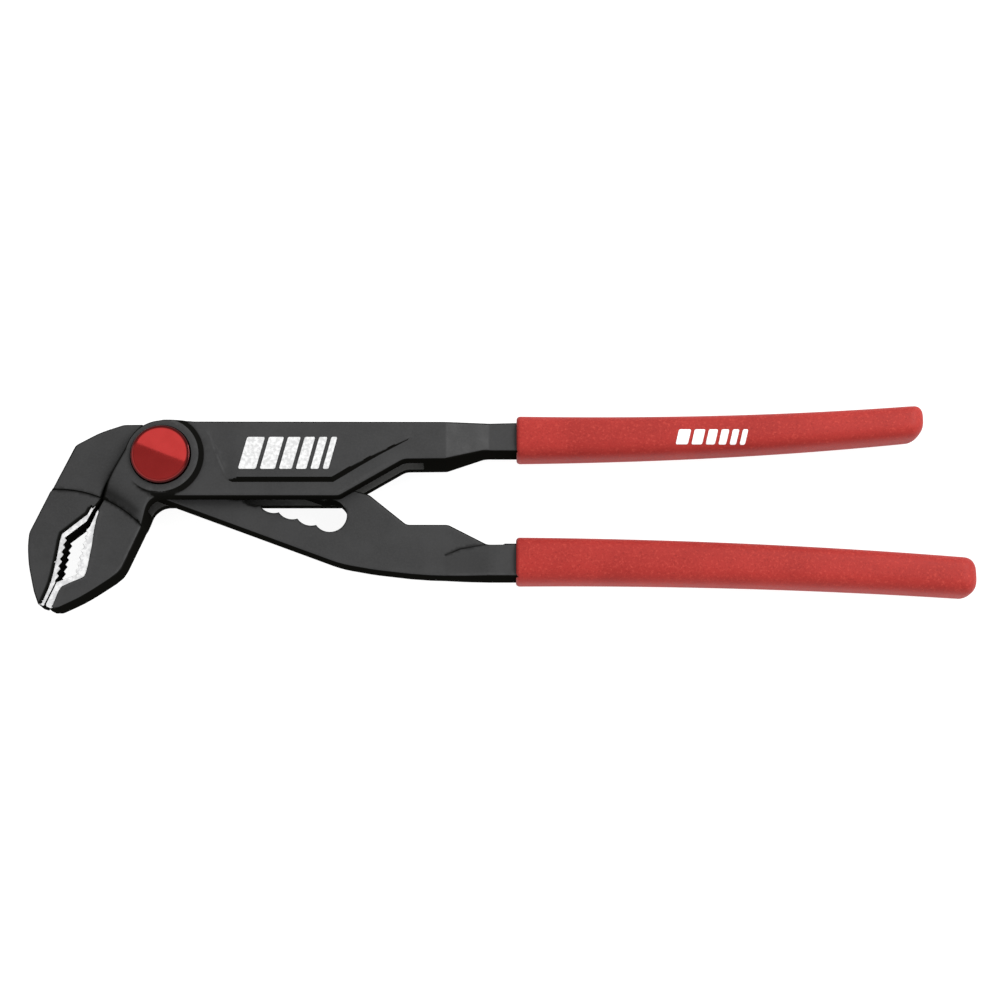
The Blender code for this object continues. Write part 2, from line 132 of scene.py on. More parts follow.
def rounded(corners):
    """Plan outline from corners (x, y) or (x, y, radius), each radius turned into an arc."""
    outline = []
    for i, corner in enumerate(corners):
        here = Vector(corner[:2])
        if len(corner) < 3:
            outline.append(tuple(here))
            continue
        before = Vector(corners[i - 1][:2]) - here
        after = Vector(corners[(i + 1) % len(corners)][:2]) - here
        half = before.angle(after) / 2
        reach = min(corner[2] / math.tan(half), 0.48 * before.length, 0.48 * after.length)
        radius = reach * math.tan(half)
        middle = here + (before.normalized() + after.normalized()).normalized() * radius / math.sin(half)
        first = here + before.normalized() * reach - middle
        turn = -first.angle_signed(here + after.normalized() * reach - middle)
        steps = max(1, math.ceil(abs(turn) / ARC_STEP))
        start = math.atan2(first.y, first.x)
        for step in range(steps + 1):
            angle = start + turn * step / steps
            outline.append((middle.x + radius * math.cos(angle), middle.y + radius * math.sin(angle)))
    return outline


def toothed(start, end, count, depth, peak):
    """A saw-tooth edge between two points. Peak is where along its pitch each tooth is highest."""
    first, last = Vector(start), Vector(end)
    step = (last - first) / count
    outward = Vector((-step.y, step.x)).normalized() * depth
    points = []
    for i in range(count):
        points.append(tuple(first + step * i))
        points.append(tuple(first + step * (i + peak) + outward))
    return points + [tuple(last)]


def on_slot(distance, side):
    along = (math.cos(SLOT_ANGLE), math.sin(SLOT_ANGLE))
    return (distance * along[0] - side * along[1], distance * along[1] + side * along[0])


def spread(line, step, closed=True):
    """The line with points added so that no span is longer than the step."""
    out = []
    ends = list(zip(line, line[1:] + line[:1])) if closed else list(zip(line, line[1:]))
    for p, q in ends:
        length = math.dist(p, q)
        if length < 1e-4:
            continue
        pieces = max(1, math.ceil(length / step))
        out += [(p[0] + (q[0] - p[0]) * i / pieces, p[1] + (q[1] - p[1]) * i / pieces) for i in range(pieces)]
    if not closed:
        out.append(line[-1])
    return out


def distance_to(points, line, closed=False):
    """Distance from each point to a line of straight spans."""
    line = np.asarray(line, float)
    starts, ends = (line, np.roll(line, -1, 0)) if closed else (line[:-1], line[1:])
    best = np.full(len(points), np.inf)
    for p, q in zip(starts, ends):
        span = q - p
        size = span @ span
        if size < 1e-12:
            continue
        part = np.clip(((points - p) @ span) / size, 0, 1)
        gap = points - p - part[:, None] * span
        best = np.minimum(best, np.hypot(gap[:, 0], gap[:, 1]))
    return best


def within(points, polygon):
    """Which points are inside a polygon."""
    x, y = points[:, 0], points[:, 1]
    odd = np.zeros(len(points), bool)
    for (x0, y0), (x1, y1) in zip(polygon, polygon[1:] + polygon[:1]):
        if y0 == y1:
            continue
        odd ^= ((y0 > y) != (y1 > y)) & (x < (x1 - x0) * (y - y0) / (y1 - y0) + x0)
    return odd


def offset_line(line, gap, closed):
    """The line moved to its left by a gap, point by point."""
    line = np.asarray(line, float)
    if closed:
        ahead, behind = np.roll(line, -1, 0) - line, line - np.roll(line, 1, 0)
    else:
        ahead = np.vstack([line[1:] - line[:-1], line[-1:] - line[-2:-1]])
        behind = np.vstack([line[1:2] - line[:1], line[1:] - line[:-1]])
    ahead /= np.linalg.norm(ahead, axis=1)[:, None] + 1e-12
    behind /= np.linalg.norm(behind, axis=1)[:, None] + 1e-12
    middle = ahead + behind
    middle /= np.linalg.norm(middle, axis=1)[:, None] + 1e-12
    normal = np.stack([-middle[:, 1], middle[:, 0]], 1)
    stretch = 1 / np.clip((middle * ahead).sum(1), 0.5, 1)
    return line + normal * (gap * stretch)[:, None]


def sweep_direction(outline):
    """+1 when the outline runs anticlockwise."""
    a = np.asarray(outline)
    b = np.roll(a, -1, 0)
    return 1 if (a[:, 0] * b[:, 1] - b[:, 0] * a[:, 1]).sum() > 0 else -1


def smoothstep(value, low, high):
    part = np.clip((value - low) / (high - low), 0, 1)
    return part * part * (3 - 2 * part)


# ---------------------------------------------------------------- mesh building


def to_object(name, vertices, faces):
    """An object in the row frame from plan millimetres."""
    mesh = bpy.data.meshes.new(name)
    moved = np.asarray(vertices, float) * MM + np.array(PIVOT)
    mesh.from_pydata(moved.tolist(), [], faces)
    mesh.validate()
    item = bpy.data.objects.new(name, mesh)
    bpy.context.scene.collection.objects.link(item)
    shape = bmesh.new()
    shape.from_mesh(mesh)
    bmesh.ops.recalc_face_normals(shape, faces=shape.faces)
    shape.to_mesh(mesh)
    shape.free()
    return item


def prism(name, outline, low, high):
    """An upright solid with the outline as its plan."""
    count = len(outline)
    vertices = [(x, y, low) for x, y in outline] + [(x, y, high) for x, y in outline]
    faces = [list(range(count))[::-1], list(range(count, 2 * count))]
    faces += [[i, (i + 1) % count, (i + 1) % count + count, i + count] for i in range(count)]
    return to_object(name, vertices, faces)


def revolved(name, profile, steps=96, centre=(0.0, 0.0)):
    """A closed profile of (radius, height) points turned about a vertical axis."""
    vertices, rings = [], []
    for radius, height in profile:
        if radius == 0:
            rings.append([len(vertices)])
            vertices.append((*centre, height))
            continue
        rings.append(list(range(len(vertices), len(vertices) + steps)))
        for i in range(steps):
            angle = 2 * math.pi * i / steps
            across, away = radius * math.cos(angle), radius * math.sin(angle)
            vertices.append((centre[0] + across, centre[1] + away, height))
    faces = []
    for ring, following in zip(rings, rings[1:] + rings[:1]):
        for i in range(steps):
            j = (i + 1) % steps
            corners = [ring[i % len(ring)], ring[j % len(ring)]]
            corners += [following[j % len(following)], following[i % len(following)]]
            corners = list(dict.fromkeys(corners))
            if len(corners) > 2:
                faces.append(corners)
    return to_object(name, vertices, faces)


def lofted(name, vertices, around):
    """A closed solid through rings of vertices, each with the same count of points around it."""
    last = len(vertices) - around
    faces = []
    for row in range(0, last, around):
        for k in range(around):
            j = (k + 1) % around
            faces.append((row + k, row + j, row + around + j, row + around + k))
    faces.append(list(range(around)))
    faces.append(list(range(last, last + around)))
    return to_object(name, vertices, faces)


def relief(name, outline, height, rear_height, edge_radius, lines):
    """A solid with height(points) above the mid-plane, rear_height(points) below it, and rounded edges.

    Lines are (points, closed, gaps): rows of mesh points laid along a feature at those side gaps.
    """
    rim = spread(outline, RIM_STEP)
    turn = sweep_direction(rim)
    rows = [np.asarray(rim)]
    for share in EDGE_ROWS:
        row = offset_line(rim, turn * share * EDGE_RADIUS, True)
        row = row[within(row, rim)]
        row = row[distance_to(row, rim, True) > EDGE_ROW_CLEARANCE * share * EDGE_RADIUS]
        rows.append(row)
    kept_lines = []
    for line, closed, gaps in lines:
        line = spread(list(map(tuple, line)), LINE_STEP, closed)
        kept_lines.append((line, closed, max(abs(g) for g in gaps)))
        for gap in gaps:
            row = offset_line(line, gap, closed)
            row = row[within(row, rim)]
            row = row[distance_to(row, rim, True) > LINE_TO_RIM]
            rows.append(row)
    low, high = np.min(rim, 0), np.max(rim, 0)
    xs = np.arange(low[0], high[0], FIELD_STEP)
    ys = np.arange(low[1], high[1], FIELD_STEP * FIELD_ROW_RATIO)
    field = np.array([(x + (0.5 * FIELD_STEP if k % 2 else 0.0), y) for k, y in enumerate(ys) for x in xs])
    field = field[within(field, rim)]
    field = field[distance_to(field, rim, True) > EDGE_ROWS[-1] * EDGE_RADIUS + FIELD_TO_RIM]
    for line, closed, reach in kept_lines:
        field = field[distance_to(field, line, closed) > reach + FIELD_TO_LINE]
    points = np.vstack(rows + [field])
    count = len(rim)
    found = delaunay_2d_cdt(
        [Vector(p) for p in points.tolist()], [(i, (i + 1) % count) for i in range(count)], [], 0, 1e-4
    )
    flat = np.array([tuple(v) for v in found[0]])
    faces = np.array(found[2])
    middles = flat[faces].mean(1)
    faces = faces[within(middles, rim)]
    a, b, c = flat[faces[:, 0]], flat[faces[:, 1]], flat[faces[:, 2]]
    ab, ac = b - a, c - a
    backward = (ab[:, 0] * ac[:, 1] - ab[:, 1] * ac[:, 0]) < 0
    faces[backward] = faces[backward][:, ::-1]
    used, index = np.unique(faces, return_inverse=True)
    flat, faces = flat[used], index.reshape(faces.shape)
    radius = edge_radius(flat)
    inward = np.minimum(distance_to(flat, rim, True), radius)
    drop = radius - np.sqrt(np.maximum(radius**2 - (radius - inward) ** 2, 0))
    top = height(flat) - drop
    total = len(flat)
    bottom = -(rear_height(flat) - drop)
    vertices = np.vstack([np.column_stack([flat, top]), np.column_stack([flat, bottom])])
    edges = {}
    for face in faces.tolist():
        for i in range(3):
            edges[(face[i], face[(i + 1) % 3])] = True
    walls = [(i, i + total, j + total, j) for i, j in edges if (j, i) not in edges]
    everything = faces.tolist() + (faces[:, ::-1] + total).tolist() + walls
    return to_object(name, vertices, everything)


def carve(item, *cutters):
    """Cuts the cutters out of the item's mesh and removes them."""
    for cutter in cutters:
        modifier = item.modifiers.new(cutter.name, "BOOLEAN")
        modifier.operation = "DIFFERENCE"
        modifier.solver = "MANIFOLD"
        modifier.object = cutter
    graph = bpy.context.evaluated_depsgraph_get()
    made = bpy.data.meshes.new_from_object(item.evaluated_get(graph))
    old = item.data
    item.modifiers.clear()
    item.data = made
    bpy.data.meshes.remove(old)
    for cutter in cutters:
        bpy.data.objects.remove(cutter)


def plan_of(item):
    """Vertex positions in plan millimetres."""
    co = np.empty(len(item.data.vertices) * 3)
    item.data.vertices.foreach_get("co", co)
    return (co.reshape(-1, 3) - np.array(PIVOT)) / MM


def face_data(item):
    """Centres in plan millimetres and normals of the faces."""
    count = len(item.data.polygons)
    centres, normals = np.empty(count * 3), np.empty(count * 3)
    item.data.polygons.foreach_get("center", centres)
    item.data.polygons.foreach_get("normal", normals)
    return (centres.reshape(-1, 3) - np.array(PIVOT)) / MM, normals.reshape(-1, 3)


def paint(item, name, values):
    """A float for each vertex, which the material reads."""
    attribute = item.data.attributes.new(name, "FLOAT", "POINT")
    attribute.data.foreach_set("value", np.asarray(values, np.float32))


def smooth(item, angle=35):
    item.data.shade_smooth()
    item.data.set_sharp_from_angle(angle=math.radians(angle))


# ---------------------------------------------------------------- materials


class Nodes:
    """Short names for building one material's nodes."""

    def __init__(self, name):
        self.material = bpy.data.materials.new(name)
        self.material.use_nodes = True
        self.tree = self.material.node_tree
        self.shader = self.tree.nodes["Principled BSDF"]
        self.place = self.add("ShaderNodeTexCoord").outputs["Object"]

    def add(self, kind, **settings):
        node = self.tree.nodes.new(kind)
        for key, value in settings.items():
            setattr(node, key, value)
        return node

    def link(self, source, target):
        self.tree.links.new(source, target)

    def noise(self, size_mm, detail=4.0, roughness=0.55, stretch=(1, 1, 1), distortion=0.0):
        """Noise from 0 to 1 whose features are about size_mm across."""
        mapping = self.add("ShaderNodeMapping")
        mapping.inputs["Scale"].default_value = [s / (size_mm * MM) for s in stretch]
        self.link(self.place, mapping.inputs["Vector"])
        node = self.add("ShaderNodeTexNoise")
        node.inputs["Scale"].default_value = 1.0
        node.inputs["Detail"].default_value = detail
        node.inputs["Roughness"].default_value = roughness
        node.inputs["Distortion"].default_value = distortion
        self.link(mapping.outputs["Vector"], node.inputs["Vector"])
        return node.outputs["Fac"]

    def attribute(self, name):
        return self.add("ShaderNodeAttribute", attribute_name=name).outputs["Fac"]

    def upright(self):
        """How far the surface faces straight up or down in the object's own frame, from 0 to 1."""
        geometry = self.add("ShaderNodeTexCoord")
        split = self.add("ShaderNodeSeparateXYZ")
        self.link(geometry.outputs["Normal"], split.inputs["Vector"])
        size = self.add("ShaderNodeMath", operation="ABSOLUTE")
        self.link(split.outputs["Z"], size.inputs[0])
        return size.outputs["Value"]

    def span(self, source, low, high, to_low=0.0, to_high=1.0):
        """The source's low to high, eased and spread over to_low to to_high."""
        node = self.add("ShaderNodeMapRange", interpolation_type="SMOOTHSTEP")
        node.inputs["From Min"].default_value = low
        node.inputs["From Max"].default_value = high
        node.inputs["To Min"].default_value = to_low
        node.inputs["To Max"].default_value = to_high
        self.link(source, node.inputs["Value"])
        return node.outputs["Result"]

    def maths(self, operation, first, second):
        node = self.add("ShaderNodeMath", operation=operation)
        for socket, value in zip(node.inputs, (first, second)):
            if isinstance(value, (int, float)):
                socket.default_value = value
            else:
                self.link(value, socket)
        return node.outputs["Value"]

    def mix(self, share, first, second):
        """Blend of two colours, each a tuple or a socket."""
        node = self.add("ShaderNodeMix", data_type="RGBA")
        self.link(share, node.inputs["Factor"])
        for socket, value in ((node.inputs["A"], first), (node.inputs["B"], second)):
            if isinstance(value, tuple):
                socket.default_value = (*value, 1.0)
            else:
                self.link(value, socket)
        return node.outputs["Result"]

    def bump(self, *layers):
        """Bump layers, each (height, depth in mm, strength)."""
        normal = None
        for source, depth_mm, strength in layers:
            node = self.add("ShaderNodeBump")
            node.inputs["Distance"].default_value = depth_mm * MM
            node.inputs["Strength"].default_value = strength
            self.link(source, node.inputs["Height"])
            if normal is not None:
                self.link(normal, node.inputs["Normal"])
            normal = node.outputs["Normal"]
        self.link(normal, self.shader.inputs["Normal"])

    def constants(self, **values):
        """Constant values of the shader, and then the finished material."""
        names = {
            "specular": "Specular IOR Level",
            "metallic": "Metallic",
            "coat": "Coat Weight",
            "coat_roughness": "Coat Roughness",
        }
        for key, value in values.items():
            self.shader.inputs[names[key]].default_value = value
        return self.material


# Painted shade: the near-black painted along shaded lines and edges.
PAINTED_SHADE_BLACK = (0.0055, 0.0055, 0.005)
GRIP_REDS = ((0.300, 0.019, 0.015), (0.350, 0.024, 0.019))
GRIP_LIGHT = (0.50, 0.062, 0.045)
GRIP_DARK = (0.20, 0.009, 0.008)
# Painted shade at the sleeve's mouth.
GRIP_MOUTH_SHADE = (0.16, 0.008, 0.008)
BUTTON_REDS = ((0.43, 0.022, 0.020), (0.46, 0.026, 0.024))
BUTTON_RIM_SHADE = (0.05, 0.003, 0.003)


def forged_steel(name, face_colour, shaded_wall_colour, specular):
    """Blackened forging: shot-blasted grain and faint clouds, with painted shade on steep walls and along
    shaded lines, and painted highlights along some edges.
    """
    nodes = Nodes(name)
    clouds = nodes.span(nodes.noise(9.0, 3.0), 0.3, 0.7)
    grain = nodes.noise(0.55, 3.0, 0.7)
    dark = tuple(c * 0.86 for c in face_colour)
    light = tuple(c * 1.12 for c in face_colour)
    colour = nodes.mix(clouds, dark, light)
    speckle = nodes.span(grain, 0.35, 0.7)
    colour = nodes.mix(nodes.maths("MULTIPLY", speckle, 0.35), colour, tuple(c * 1.5 for c in face_colour))
    # Painted shade: faces that stand steeply, the forging's walls, take the darker wall colour.
    flat = nodes.span(nodes.upright(), 0.78, 0.955)
    colour = nodes.mix(flat, shaded_wall_colour, colour)
    # Painted highlight: a lighter colour along the highlight lines, broken up by noise.
    highlight = nodes.maths("MULTIPLY", nodes.attribute("painted_highlight"), nodes.span(nodes.noise(2.2, 5.0), 0.32, 0.55))
    colour = nodes.mix(nodes.maths("MULTIPLY", highlight, 0.6), colour, tuple(c * 2.4 for c in face_colour))
    # Painted shade: near-black where the mesh's shade attribute is painted.
    colour = nodes.mix(nodes.attribute("painted_shade"), colour, PAINTED_SHADE_BLACK)
    nodes.link(colour, nodes.shader.inputs["Base Color"])
    rough = nodes.span(nodes.noise(3.0, 4.0), 0.3, 0.7, 0.5, 0.62)
    nodes.link(rough, nodes.shader.inputs["Roughness"])
    open_face = nodes.maths("SUBTRACT", 1.0, nodes.attribute("painted_shade"))
    sheen = nodes.span(nodes.maths("MULTIPLY", open_face, flat), 0.0, 1.0, 0.0, specular)
    nodes.link(sheen, nodes.shader.inputs["Specular IOR Level"])
    nodes.bump((grain, 0.05, 0.5), (nodes.noise(3.5, 2.0), 0.08, 0.25))
    return nodes.constants(metallic=0.0)


def ground_steel(name, low, high):
    """Bright ground steel with light grey mottling."""
    nodes = Nodes(name)
    mottle = nodes.span(nodes.noise(1.3, 4.0, 0.6), 0.4, 0.62)
    colour = nodes.mix(mottle, (low, low, low * 1.01), (high, high, high))
    nodes.link(colour, nodes.shader.inputs["Base Color"])
    rough = nodes.span(nodes.noise(0.7, 3.0), 0.3, 0.7, 0.35, 0.5)
    nodes.link(rough, nodes.shader.inputs["Roughness"])
    nodes.bump((nodes.noise(0.4, 3.0, stretch=(1, 0.2, 1)), 0.02, 0.4))
    return nodes.constants(specular=0.5, metallic=0.15)


def turned_steel(name, colour, roughness):
    """Machined steel with faint turning rings and small colour changes."""
    nodes = Nodes(name)
    mottle = nodes.span(nodes.noise(1.5, 4.0), 0.3, 0.7)
    base = nodes.mix(mottle, tuple(c * 0.8 for c in colour), tuple(c * 1.15 for c in colour))
    nodes.link(base, nodes.shader.inputs["Base Color"])
    fine = nodes.noise(0.25, 3.0, stretch=(0.3, 0.3, 2.0))
    rough = nodes.span(fine, 0.3, 0.7, roughness - 0.06, roughness + 0.08)
    nodes.link(rough, nodes.shader.inputs["Roughness"])
    nodes.bump((fine, 0.01, 0.4))
    return nodes.constants(specular=0.5, metallic=1.0)


def dipped_grip(name):
    """Dipped vinyl: orange-peel skin with a fine lighter and darker speckle."""
    nodes = Nodes(name)
    clouds = nodes.span(nodes.noise(14.0, 2.0), 0.3, 0.7)
    colour = nodes.mix(clouds, *GRIP_REDS)
    grain = nodes.noise(0.75, 4.0, 0.75)
    fine = nodes.noise(0.4, 2.0, 0.6)
    light = nodes.maths("MULTIPLY", nodes.span(grain, 0.5, 0.68), 0.55)
    colour = nodes.mix(light, colour, GRIP_LIGHT)
    dark = nodes.maths("MULTIPLY", nodes.span(fine, 0.48, 0.3), 0.5)
    colour = nodes.mix(dark, colour, GRIP_DARK)
    # Painted shade: darker red where the sleeve's mouth is painted.
    colour = nodes.mix(nodes.attribute("painted_shade"), colour, GRIP_MOUTH_SHADE)
    nodes.link(colour, nodes.shader.inputs["Base Color"])
    rough = nodes.span(grain, 0.3, 0.7, 0.5, 0.66)
    nodes.link(rough, nodes.shader.inputs["Roughness"])
    nodes.bump((grain, 0.10, 0.55), (fine, 0.05, 0.4))
    return nodes.constants(specular=0.2, metallic=0.0)


def anodised_button(name):
    """Polished red anodised cap, with painted shade on its rim."""
    nodes = Nodes(name)
    mottle = nodes.span(nodes.noise(4.0, 3.0), 0.3, 0.7)
    colour = nodes.mix(mottle, *BUTTON_REDS)
    colour = nodes.mix(nodes.attribute("painted_shade"), colour, BUTTON_RIM_SHADE)
    nodes.link(colour, nodes.shader.inputs["Base Color"])
    fine = nodes.noise(0.5, 3.0)
    nodes.link(nodes.span(fine, 0.3, 0.7, 0.03, 0.05), nodes.shader.inputs["Roughness"])
    nodes.bump((fine, 0.002, 0.2))
    return nodes.constants(specular=0.5, metallic=0.85, coat=0.2, coat_roughness=0.03)


def painted_mark(name, low, high):
    """Printed mark, finely mottled between two greys."""
    nodes = Nodes(name)
    mottle = nodes.span(nodes.noise(0.9, 4.0, 0.6), 0.38, 0.62)
    nodes.link(nodes.mix(mottle, (low, low, low), (high, high, high)), nodes.shader.inputs["Base Color"])
    nodes.link(nodes.span(mottle, 0.0, 1.0, 0.45, 0.6), nodes.shader.inputs["Roughness"])
    nodes.bump((mottle, 0.02, 0.3))
    return nodes.constants(specular=0.4, metallic=0.0)


FACE = (0.0275, 0.0275, 0.0278)
# Painted shade: the dark colour of the forging's steep walls, also used for the shaded wall copy of the
# steel.
WALL_SHADE = (0.0046, 0.0045, 0.0038)
STEEL = forged_steel("forged_steel", FACE, WALL_SHADE, 0.3)
STEEL_SHADED_WALL = forged_steel("forged_steel_shaded_wall", WALL_SHADE, WALL_SHADE, 0.01)
# Painted light as well as bare metal: the mortise's inner faces are milled steel, and made lighter still to
# make up for the shade inside the joint.
MILLED_LIT = forged_steel("milled_steel_painted_lit", (0.075, 0.075, 0.072), (0.05, 0.05, 0.048), 0.3)
GROUND = ground_steel("ground_steel", 0.58, 0.8)
GRIP = dipped_grip("dipped_vinyl")
BUTTON = anodised_button("anodised_red")
MARK = painted_mark("silver_mark", 0.55, 0.74)
MARK_WHITE = painted_mark("white_mark", 0.78, 0.9)
PIN = turned_steel("pin_steel", (0.42, 0.42, 0.43), 0.32)
SPRING = turned_steel("spring_steel", (0.5, 0.5, 0.5), 0.26)


# ---------------------------------------------------------------- sleeves' plan


UPPER_SLEEVE = {
    "start": 93.2, "end": 201.2, "taper_length": 98.0,
    "centre": 6.0, "drift": 3.7, "bend": 2.2, "half_width": 5.95, "taper": 1.4,
    "end_corners": (3.9, 2.4, 4.2),
}
LOWER_SLEEVE = {
    "start": 93.0, "end": 213.0, "taper_length": 113.0,
    "centre": -27.05, "drift": -4.0, "bend": 2.0, "half_width": 6.15, "taper": 0.95,
    "end_corners": (4.0, 2.8, 4.2),
}
UPPER_SHANK = {"end": 188.0, "walls": (1.75, 2.25), "tip_walls": (2.3, 2.3)}
LOWER_SHANK = {"end": 200.0, "walls": (1.5, 2.0), "tip_walls": (2.4, 2.4)}
SLEEVE_HALF = 6.2
SHANK_GAP = 0.35


def sleeve_edges(size, x):
    part = (x - size["start"]) / size["taper_length"]
    centre = size["centre"] + size["drift"] * part ** size["bend"]
    half = size["half_width"] - size["taper"] * part
    return centre - half, centre + half


def shank_edges(sleeve_size, size):
    """Lower and upper edge points of a shank inside its sleeve."""
    steps = 8
    low, high = [], []
    for i in range(steps + 1):
        part = i / steps
        x = SHANK_START + (size["end"] - SHANK_START) * part
        bottom, top = sleeve_edges(sleeve_size, x)
        low.append((x, bottom + size["walls"][0] + (size["tip_walls"][0] - size["walls"][0]) * part))
        high.append((x, top - size["walls"][1] - (size["tip_walls"][1] - size["walls"][1]) * part))
    return low, high


# ---------------------------------------------------------------- outer half


CREASE = arc(CREASE_RADIUS, 110, 30, TIP_CENTRE)
RIGHT_BAND = [
    (-16.1, -14.4), (-16.7, -16.6), (-17.1, -19.3), (-17.5, -23.3), (-17.9, -26.0), (-18.3, -28.7),
    (-18.7, -30.6), (-19.2, -31.7), (-20.2, -32.3), (-22.4, -33.2), (-24.9, -34.4), (-25.6, -35.5),
    (-26.3, -37.4), (-27.4, -40.4),
]
RIGHT_BAND_MOUTH = [
    (-28.2, -41.5), (-31.0, -41.0), (-28.5, -33.0), (-23.0, -30.0), (-20.5, -18.0), (-17.9, -13.6),
]
LEFT_BAND = [
    (-18.9, -13.3), (-19.6, -14.7), (-21.2, -16.0), (-26.1, -20.0), (-26.6, -22.0), (-26.95, -24.6),
    (-27.45, -27.9), (-28.0, -31.0), (-28.5, -33.2), (-29.2, -35.2), (-30.7, -38.9),
]
LEFT_BAND_MOUTH = [
    (-30.0, -40.6), (-28.0, -40.5), (-25.5, -33.0), (-22.9, -21.5), (-18.5, -16.9), (-17.2, -12.9),
]
RIGHT_BAND_STEP = {"depth": 0.3, "wall": 0.2}
LEFT_BAND_STEP = {"depth": 0.55, "wall": 0.5}
PANEL_LEFT = [(12.3, 5.4), (13.8, 0.8), (15.9, -4.4), (17.0, -6.3)]
PANEL_BASE = [(18.8, -7.15), (45.2, -7.15)]
PANEL_RIGHT = [(47.6, -5.7), (52.2, -2.8), (57.4, 0.3), (62.7, 3.2), (64.6, 4.2)]
PANEL_LINE = PANEL_LEFT + PANEL_BASE + PANEL_RIGHT
PANEL_TOP = [(66.0, 12.0), (12.0, 12.0)]
PANEL_RISE = 1.0
PANEL_SLOPE = 0.85
# The raised panel fades out towards the top edge, and towards its left end.
PANEL_FADE_TOP, PANEL_FADE_LENGTH, PANEL_LEAST = 8.4, 12.0, 0.12
REAR_GROOVE_DEPTH = 0.35
REAR_GROOVE_HALF = 0.6
NECK_POWER = 1.8


def band_drop(points, band, mouth, step):
    """How far the ground band lies below the jaw's face."""
    gap = distance_to(points, band)
    inside = within(points, band + mouth)
    return np.where(inside, step["depth"] * np.clip(gap / step["wall"], 0, 1), 0.0)


def jaw_height(points, above):
    """The cone that thins each jaw towards its tip, a step below the forging's other height."""
    reach = np.hypot(points[:, 0] - TIP_CENTRE[0], points[:, 1] - TIP_CENTRE[1])
    cone = JAW_TIP + (JAW - JAW_TIP) * reach / CREASE_RADIUS
    step = np.clip((reach - CREASE_RADIUS) / CREASE_STEP, 0, 1)
    return np.where(reach < CREASE_RADIUS + CREASE_STEP, cone + (above - cone) * step, above)


def base_height(points):
    """The outer half without its panel or band: cheek, boss, neck, ramp to the shank and jaw."""
    x, y = points[:, 0], points[:, 1]
    radius = np.hypot(x, y)
    boss = BOSS_TOP - (radius - BOSS_TOP_RADIUS) * (BOSS_TOP - CHEEK) / (BOSS_RADIUS - BOSS_TOP_RADIUS)
    level = smoothstep(-x, 0.5, 3.5) * smoothstep(y, -14.0, -5.0)
    z = np.clip(np.maximum(boss, CHEEK + (BOSS_TOP - CHEEK) * level), CHEEK, BOSS_TOP)
    reach = np.hypot(x - TIP_CENTRE[0], y - TIP_CENTRE[1])
    part = np.clip((NECK_TOP_REACH - reach) / (NECK_TOP_REACH - CREASE_RADIUS), 0, 1)
    z = z - np.where(x < 0, (z - HEAD) * part**NECK_POWER, 0.0)
    ramp = np.interp(x, [RAMP_START, RAMP_END], [CHEEK, SHANK])
    return np.where(x > RAMP_START, np.minimum(z, ramp), z)


def outer_height(points):
    x, y = points[:, 0], points[:, 1]
    z = base_height(points)
    rise = PANEL_RISE * np.clip((PANEL_FADE_TOP - y) / PANEL_FADE_LENGTH, 0, 1)
    rise = rise * (PANEL_LEAST + (1 - PANEL_LEAST) * smoothstep(x, 16.8, 20.5))
    inner = within(points, PANEL_LINE + PANEL_TOP)
    z = z + np.where(inner, np.minimum(rise, PANEL_SLOPE * distance_to(points, PANEL_LINE)), 0.0)
    z = jaw_height(points, z)
    return z - band_drop(points, RIGHT_BAND, RIGHT_BAND_MOUTH, RIGHT_BAND_STEP)


def outer_rear_height(points):
    """The rear lies flat on its cheek: no boss, and a shallow groove where the front has its panel."""
    z = jaw_height(points, np.minimum(base_height(points), CHEEK))
    groove = REAR_GROOVE_DEPTH * np.clip(1 - distance_to(points, PANEL_LINE) / REAR_GROOVE_HALF, 0, 1)
    return z - groove - band_drop(points, RIGHT_BAND, RIGHT_BAND_MOUTH, RIGHT_BAND_STEP)


def edge_radius_of(band, mouth):
    """The edges are crisp on the ground band and rounded elsewhere."""
    polygon = band + mouth
    return lambda points: np.where(within(points, polygon), BAND_EDGE_RADIUS, EDGE_RADIUS)


def outer_outline():
    low, high = shank_edges(UPPER_SLEEVE, UPPER_SHANK)
    return rounded([
        (8.2, 9.4, 6.0),
        (5.2, 9.65, 6.0),
        (0.4, 9.65, 3.0),
        *arc(9.45, 95, 163),
        (-9.45, 1.6),
        (-13.9, -7.1),
        (-15.3, -11.2),
        (-16.6, -13.8, 4.0),
        *toothed((-18.5, -18.4), (-21.2, -30.9), 7, -TOOTH_DEPTH, 0.6),
        (-21.8, -31.3, 0.5),
        (-26.4, -33.1, 0.3),
        (-28.9, -38.9),
        (-28.8, -39.5, 0.3),
        (-27.7, -40.05, 1.0),
        (-25.8, -40.15, 2.0),
        (-20.2, -37.5, 40.0),
        (-16.4, -35.1, 40.0),
        (-12.3, -32.3, 8.0),
        (-10.4, -30.7, 2.5),
        (-9.3, -29.0, 8.0),
        (-4.7, -18.3, 20.0),
        (-2.7, -11.0, 4.8),
        (46.8, -11.0, 3.0),
        (63.6, -1.1, 4.0),
        (RAMP_START, -1.0, 4.0),
        (84.5, 1.8, 5.0),
        (93.0, 1.8),
        *low,
        *high[::-1],
        (93.0, 9.7),
        (75.0, 9.3, 60.0),
    ])


def near(flat, lines):
    """The strongest of several soft lines, each (points, closed, half width, strength), at each point."""
    found = np.zeros(len(flat))
    for line, closed, width, strength in lines:
        gap = distance_to(flat, line, closed)
        found = np.maximum(found, strength * np.clip(1.3 - gap / width, 0, 1))
    return found


ON_TOP = 0.8
FACES_UP, FACES_SIDEWAYS, FLAT = 0.8, 0.45, 0.95


